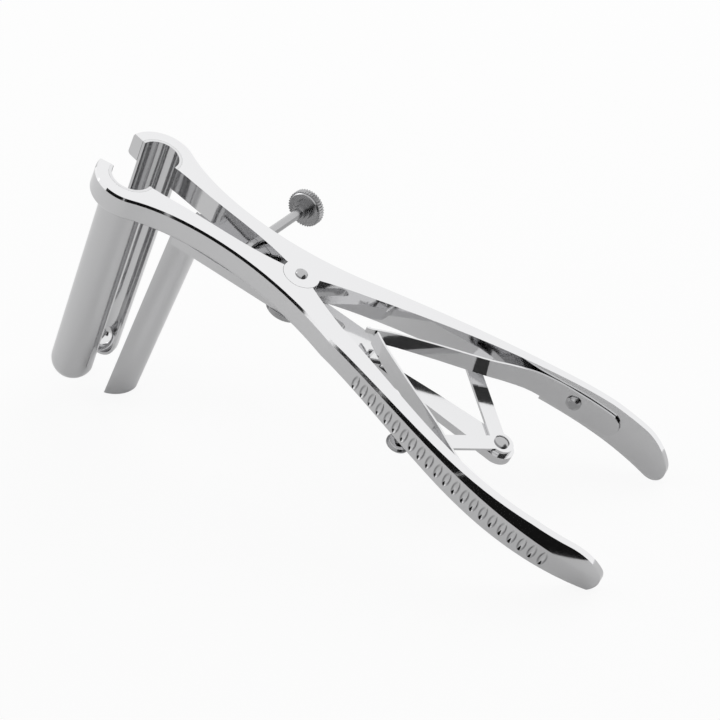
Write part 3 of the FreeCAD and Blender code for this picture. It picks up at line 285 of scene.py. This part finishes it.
def shade_scoops(material):
    """Deepen the grip scoops with a bump and paint shade on their flanks on the handles' outer sides.
    """
    tree = material.node_tree
    steel = next(node for node in tree.nodes if node.type == "BSDF_PRINCIPLED")
    dent = steel.inputs["Normal"].links[0].from_socket
    surface = add_node(tree, "ShaderNodeTexCoord").outputs
    moved = add_node(tree, "ShaderNodeVectorMath", {
        0: surface["Object"], 1: stance_shift}, operation="SUBTRACT")

    def measured(direction):
        line = add_node(tree, "ShaderNodeVectorMath", {
            0: moved.outputs[0], 1: [MM_PER_M * part for part in direction]}, operation="DOT_PRODUCT")
        return line.outputs["Value"]

    back = measured((math.cos(stance_turn), 0.0, -math.sin(stance_turn)))
    up = measured((math.sin(stance_turn), 0.0, math.cos(stance_turn)))
    counted = add_node(tree, "ShaderNodeMapRange", {
        "Value": back, "From Min": SCOOP_FIRST_MM - SCOOP_PITCH_MM / 2,
        "From Max": SCOOP_FIRST_MM + (SCOOP_COUNT - 0.5) * SCOOP_PITCH_MM,
        "To Max": float(SCOOP_COUNT)})
    from_middle = add_math(tree, "SUBTRACT", add_math(tree, "FRACT", counted.outputs[0]), 0.5)
    across = add_math(tree, "MULTIPLY", from_middle, SCOOP_PITCH_MM / SCOOP_HALF_WIDE_MM)
    bend, slope, level = SCOOP_MIDDLE_MM
    rise = add_math(tree, "MULTIPLY_ADD", back, bend, slope)
    middle = add_math(tree, "MULTIPLY_ADD", rise, back, level)
    over_middle = add_math(tree, "SUBTRACT", up, middle)
    along = add_math(tree, "DIVIDE", over_middle, SCOOP_HALF_TALL_MM)
    spot = add_node(tree, "ShaderNodeCombineXYZ", {"X": across, "Y": along})
    reach = add_node(tree, "ShaderNodeVectorMath", {0: spot.outputs[0]}, operation="LENGTH")
    out = reach.outputs["Value"]

    point = add_node(tree, "ShaderNodeSeparateXYZ", {0: surface["Object"]})
    facing = add_node(tree, "ShaderNodeSeparateXYZ", {0: surface["Normal"]})
    outward = add_math(tree, "MULTIPLY", point.outputs["Y"], facing.outputs["Y"])
    outer_side = add_math(tree, "GREATER_THAN", outward, 0.0)

    hollow = add_node(tree, "ShaderNodeMapRange", {
        "Value": out, "From Min": 1.0, "From Max": 0.0, "To Max": -1.0})
    dish = add_node(tree, "ShaderNodeBump", {
        "Height": add_math(tree, "MULTIPLY", hollow.outputs[0], outer_side),
        "Strength": SCOOP_DISH_STRENGTH, "Distance": SCOOP_DEEP_MM / MM_PER_M, "Normal": dent})
    # Painted shade: a ring on each scoop's flank, strongest towards its sides, mixes the dark colour
    # into the base colour on the handles' outer sides.
    off_flank = add_math(tree, "ABSOLUTE", add_math(tree, "SUBTRACT", out, SCOOP_FLANK_OUT))
    fade_start, fade_end = SCOOP_FLANK_FADE
    on_flank = add_node(tree, "ShaderNodeMapRange", {
        "Value": off_flank, "From Min": fade_start, "From Max": fade_end})
    flank = add_math(tree, "MULTIPLY", on_flank.outputs[0], add_math(tree, "ABSOLUTE", across))
    flank = add_math(tree, "MULTIPLY", flank, outer_side)
    painted_shade = add_math(tree, "MULTIPLY", flank, SCOOP_PAINTED_SHADE_STRENGTH)
    painted_shade_tint = add_node(tree, "ShaderNodeMix", {"Factor": painted_shade}, data_type="RGBA")
    painted_shade_tint.inputs[MIX_COLOUR_A].default_value = steel.inputs["Base Color"].default_value
    painted_shade_tint.inputs[MIX_COLOUR_B].default_value = linear(SCOOP_PAINTED_SHADE_COLOUR)
    tree.links.new(painted_shade_tint.outputs[MIX_COLOUR_RESULT], steel.inputs["Base Color"])
    tree.links.new(dish.outputs[0], steel.inputs["Normal"])


forged_steel = polished_steel(
    "buffed_forged_stainless", "#D2D2D3", 0.07, wave_mm=9.0, haze_mm=0.6, wave_height_mm=0.3)
shade_scoops(forged_steel)
finish_nodes(forged_steel, "near_lever", "far_lever")

# The three blades. Sheet steel bent to half-round troughs, brazed into the collars and the bar.
# They are polished lengthways, so their reflections look softer and calmer than the levers'.

sheet_steel = polished_steel(
    "polished_blade_sheet", "#CBCBCC", 0.11, wave_mm=14.0, haze_mm=0.5, wave_height_mm=0.2)
finish_nodes(sheet_steel, "near_blade", "far_blade", "third_blade")

# The centre bar, the links and the washer. Milled flat stock, held by the pivot and the toggle
# screws. Ground and buffed like the levers' top, they show even tones with little haze.

flat_steel = polished_steel(
    "ground_flat_stainless", "#D0D0D1", 0.09, wave_mm=12.0, haze_mm=0.4, wave_height_mm=0.2)
finish_nodes(flat_steel, "centre_bar", "near_link", "far_link", "far_link_washer")

# The turned pieces. Screws, nuts and pins come from the lathe and are screwed or riveted in.
# They are only lightly buffed, so they look darker and blur what they mirror.

turned_steel = polished_steel(
    "turned_stainless", "#A6A6A7", 0.18, wave_mm=4.0, haze_mm=0.3, wave_height_mm=0.08)
finish_nodes(
    turned_steel, "pivot_screw", "pivot_nut", "toggle_screw", "toggle_nut", "near_link_screw",
    "far_link_screw", "near_spring_screw", "far_spring_screw", "thumb_screw")

# The knob of the thumb screw. Turned from bar with a stepped hub and a dished outer face; its rim
# is straight-knurled for the fingers and it is pressed on the screw. The steel is left from the
# tool: dull and grainy, the darkest on the instrument.

THUMB_PLACE_MM = (-17.5, 9.0, -3.5)
THUMB_TURN_DEG = 4.6
# Radius and height along the screw, from the hub's bore round its outside to the dished face.
KNOB_PROFILE_MM = [
    (1.55, 17.6), (2.2, 17.6), (2.2, 19.4), (3.1, 19.4), (3.1, 21.0), (5.1, 21.0), (5.42, 21.3),
    (5.42, 23.7), (5.1, 24.0), (4.4, 24.0), (3.7, 23.3), (1.55, 23.3)]
KNOB_STEPS = 96
KNURL_COUNT = 40
KNURL_CENTRE_MM = 5.56
KNURL_HALF_MM = 0.4
KNURL_LONG_MM = 2.3
KNURL_MIDDLE_MM = 22.5
KNURL_CORNERS = 4
SMOOTH_TO_DEG = 32

stance = Matrix.Translation(stance_shift) @ Matrix.Rotation(stance_turn, 4, "Y")
stance = stance @ Matrix.Scale(1 / MM_PER_M, 4)


def new_piece(name, shape, place):
    """A named piece from a bmesh drawn in millimetres, set down by a matrix."""
    bmesh.ops.recalc_face_normals(shape, faces=shape.faces)
    mesh = bpy.data.meshes.new(name)
    shape.to_mesh(mesh)
    shape.free()
    mesh.transform(place)
    mesh.shade_smooth()
    mesh.set_sharp_from_angle(angle=math.radians(SMOOTH_TO_DEG))
    piece = bpy.data.objects.new(name, mesh)
    bpy.context.scene.collection.objects.link(piece)
    return piece


def join_rings(shape, ring, following):
    """Faces between two rings of as many corners."""
    for corner in range(len(ring)):
        after = (corner + 1) % len(ring)
        shape.faces.new((ring[corner], following[corner], following[after], ring[after]))


def lathe(profile, steps):
    """A closed turned shape about Z from radius and height pairs."""
    shape = bmesh.new()
    rings = []
    for step in range(steps):
        turn = 2 * math.pi * step / steps
        rings.append([
            shape.verts.new((radius * math.cos(turn), radius * math.sin(turn), height))
            for radius, height in profile])
    for step, ring in enumerate(rings):
        join_rings(shape, ring, rings[(step + 1) % steps])
    return shape


def ring_of_ridges(material):
    """Geometry nodes that set one ridge many times round a circle, beside the piece's own mesh."""
    group = bpy.data.node_groups.new("knurled_rim", "GeometryNodeTree")
    sockets = group.interface
    sockets.new_socket("Geometry", in_out="INPUT", socket_type="NodeSocketGeometry")
    sockets.new_socket("Ridge Count", in_out="INPUT", socket_type="NodeSocketInt")
    for name in ("Circle Radius", "Ridge Radius", "Ridge Length", "Ridge Middle"):
        sockets.new_socket(name, in_out="INPUT", socket_type="NodeSocketFloat")
    sockets.new_socket("Geometry", in_out="OUTPUT", socket_type="NodeSocketGeometry")
    entry = add_node(group, "NodeGroupInput").outputs
    circle = add_node(group, "GeometryNodeMeshCircle", {
        "Vertices": entry["Ridge Count"], "Radius": entry["Circle Radius"]})
    ridge = add_node(group, "GeometryNodeMeshCylinder", {
        "Vertices": KNURL_CORNERS, "Side Segments": 1,
        "Radius": entry["Ridge Radius"], "Depth": entry["Ridge Length"]})
    index = add_node(group, "GeometryNodeInputIndex").outputs[0]
    share = add_math(group, "DIVIDE", index, entry["Ridge Count"])
    angle = add_math(group, "MULTIPLY", share, 2 * math.pi)
    turn = add_node(group, "ShaderNodeCombineXYZ", {"Z": angle})
    ridges = add_node(group, "GeometryNodeInstanceOnPoints", {
        "Points": circle.outputs[0], "Instance": ridge.outputs[0], "Rotation": turn.outputs[0]})
    lift = add_node(group, "ShaderNodeCombineXYZ", {"Z": entry["Ridge Middle"]})
    lifted = add_node(group, "GeometryNodeTransform", {
        "Geometry": ridges.outputs[0], "Translation": lift.outputs[0]})
    real = add_node(group, "GeometryNodeRealizeInstances", {0: lifted.outputs[0]})
    painted = add_node(group, "GeometryNodeSetMaterial", {
        "Geometry": real.outputs[0], "Material": material})
    joined = add_node(group, "GeometryNodeJoinGeometry")
    group.links.new(painted.outputs[0], joined.inputs[0])
    group.links.new(entry["Geometry"], joined.inputs[0])
    add_node(group, "NodeGroupOutput", {"Geometry": joined.outputs[0]})
    return group


screw_axis = Matrix.Rotation(math.radians(-THUMB_TURN_DEG), 4, "Z")
screw_axis = screw_axis @ Matrix.Rotation(math.radians(-90), 4, "X")
knob_place = stance @ Matrix.Translation(THUMB_PLACE_MM) @ screw_axis
knurled_steel = polished_steel(
    "knurled_stainless", "#9C9C9D", 0.24, wave_mm=3.0, haze_mm=0.25, wave_height_mm=0.05)
knob = new_piece("knurled_knob", lathe(KNOB_PROFILE_MM, KNOB_STEPS), Matrix.Identity(4))
knob.data.materials.append(knurled_steel)
rim = knob.modifiers.new("rim", "NODES")
rim.node_group = ring_of_ridges(knurled_steel)
rim_values = {
    "Ridge Count": KNURL_COUNT, "Circle Radius": KNURL_CENTRE_MM, "Ridge Radius": KNURL_HALF_MM,
    "Ridge Length": KNURL_LONG_MM, "Ridge Middle": KNURL_MIDDLE_MM}
for item in rim.node_group.interface.items_tree:
    if item.name in rim_values:
        rim[item.identifier] = rim_values[item.name]
evaluated = knob.evaluated_get(bpy.context.evaluated_depsgraph_get())
finished = bpy.data.meshes.new_from_object(evaluated)
knob.modifiers.remove(rim)
knob.data = finished
knob.data.transform(knob_place)
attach(knob, "thumb")
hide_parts("thumb_knob")

# The leaf springs. Tempered strip, screwed flat on the handles behind and bowing free to the
# middle, where the far one's hooked tip passes over the near one's tongue. Rolled and polished,
# the strip mirrors more sharply than the forgings, in long clean bands.

SPRING_PATH_MM = [
    (25.2, -1.6), (27.0, -0.6), (29.0, 0.9), (34.0, 4.4), (45.0, 10.7), (53.0, 15.0), (60.0, 18.9),
    (66.0, 22.9), (73.0, 26.8), (80.0, 28.75), (86.7, 29.6), (95.0, 30.2), (102.5, 30.05)]
SPRING_THICK_MM = 0.65
SPRING_TOP_MM = -1.0
SPRING_LOW_MM = [(24.0, -5.9), (58.0, -7.2), (86.7, -10.1), (98.6, -9.2), (103.0, -9.0)]
TAIL_START_MM = 98.6
TAIL_LONG_MM = 4.0
TAIL_MIDDLE_MM = -5.0
TAIL_ROUNDED_TO = 0.98
CROSSING_MM = 28.6
FAR_TIP_MM = (-1.0, -2.9)
NEAR_TIP_MM = (-3.2, -5.4)
SAMPLES_PER_RUN = 8


def smooth_path(points, samples):
    """A rounded line through all points, with so many samples from one to the next."""
    line = []
    for k in range(len(points) - 1):
        before = Vector(points[max(k - 1, 0)])
        start = Vector(points[k])
        end = Vector(points[k + 1])
        after = Vector(points[min(k + 2, len(points) - 1)])
        slope = end - before
        bend = 2 * before - 5 * start + 4 * end - after
        twist = 3 * start - before - 3 * end + after
        for step in range(samples):
            t = step / samples
            line.append(0.5 * (2 * start + slope * t + bend * t * t + twist * t ** 3))
    line.append(Vector(points[-1]))
    return line


def between(table, place):
    """A value read from pairs along X."""
    for (x0, v0), (x1, v1) in zip(table, table[1:]):
        if place <= x1:
            return v0 + (v1 - v0) * max(place - x0, 0) / (x1 - x0)
    return table[-1][1]


def spring_edges(place, tip):
    """Top and lower edge of a spring at a place along X."""
    if place < CROSSING_MM:
        return tip
    top = SPRING_TOP_MM
    low = between(SPRING_LOW_MM, place)
    if place > TAIL_START_MM:
        share = min((place - TAIL_START_MM) / TAIL_LONG_MM, TAIL_ROUNDED_TO)
        fullness = math.sqrt(1 - share * share)
        top = TAIL_MIDDLE_MM + (top - TAIL_MIDDLE_MM) * fullness
        low = TAIL_MIDDLE_MM + (low - TAIL_MIDDLE_MM) * fullness
    return top, low


def leaf_spring(name, side, tip):
    """One spring as a strip along its path; its tip keeps only the heights given."""
    shape = bmesh.new()
    line = smooth_path(SPRING_PATH_MM, SAMPLES_PER_RUN)
    rings = []
    for k, point in enumerate(line):
        ahead = (line[min(k + 1, len(line) - 1)] - line[max(k - 1, 0)]).normalized()
        out = Vector((-ahead.y, ahead.x)) * SPRING_THICK_MM / 2
        top, low = spring_edges(point.x, tip)
        corners = [(point + out, top), (point - out, top), (point - out, low), (point + out, low)]
        rings.append([
            shape.verts.new((place.x, place.y * side, height)) for place, height in corners])
    for ring, following in zip(rings, rings[1:]):
        join_rings(shape, ring, following)
    shape.faces.new(rings[0])
    shape.faces.new(rings[-1][::-1])
    return new_piece(name, shape, stance)


spring_steel = polished_steel(
    "tempered_spring_strip", "#CDCDCE", 0.08, wave_mm=18.0, haze_mm=0.4, wave_height_mm=0.15)
for node, body, side, tip in (
        ("far_spring", "far_side", 1, FAR_TIP_MM), ("near_spring", "near_side", -1, NEAR_TIP_MM)):
    leaf = leaf_spring(node + "_leaf", side, tip)
    leaf.data.materials.append(spring_steel)
    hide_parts(node)
    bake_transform(leaf)
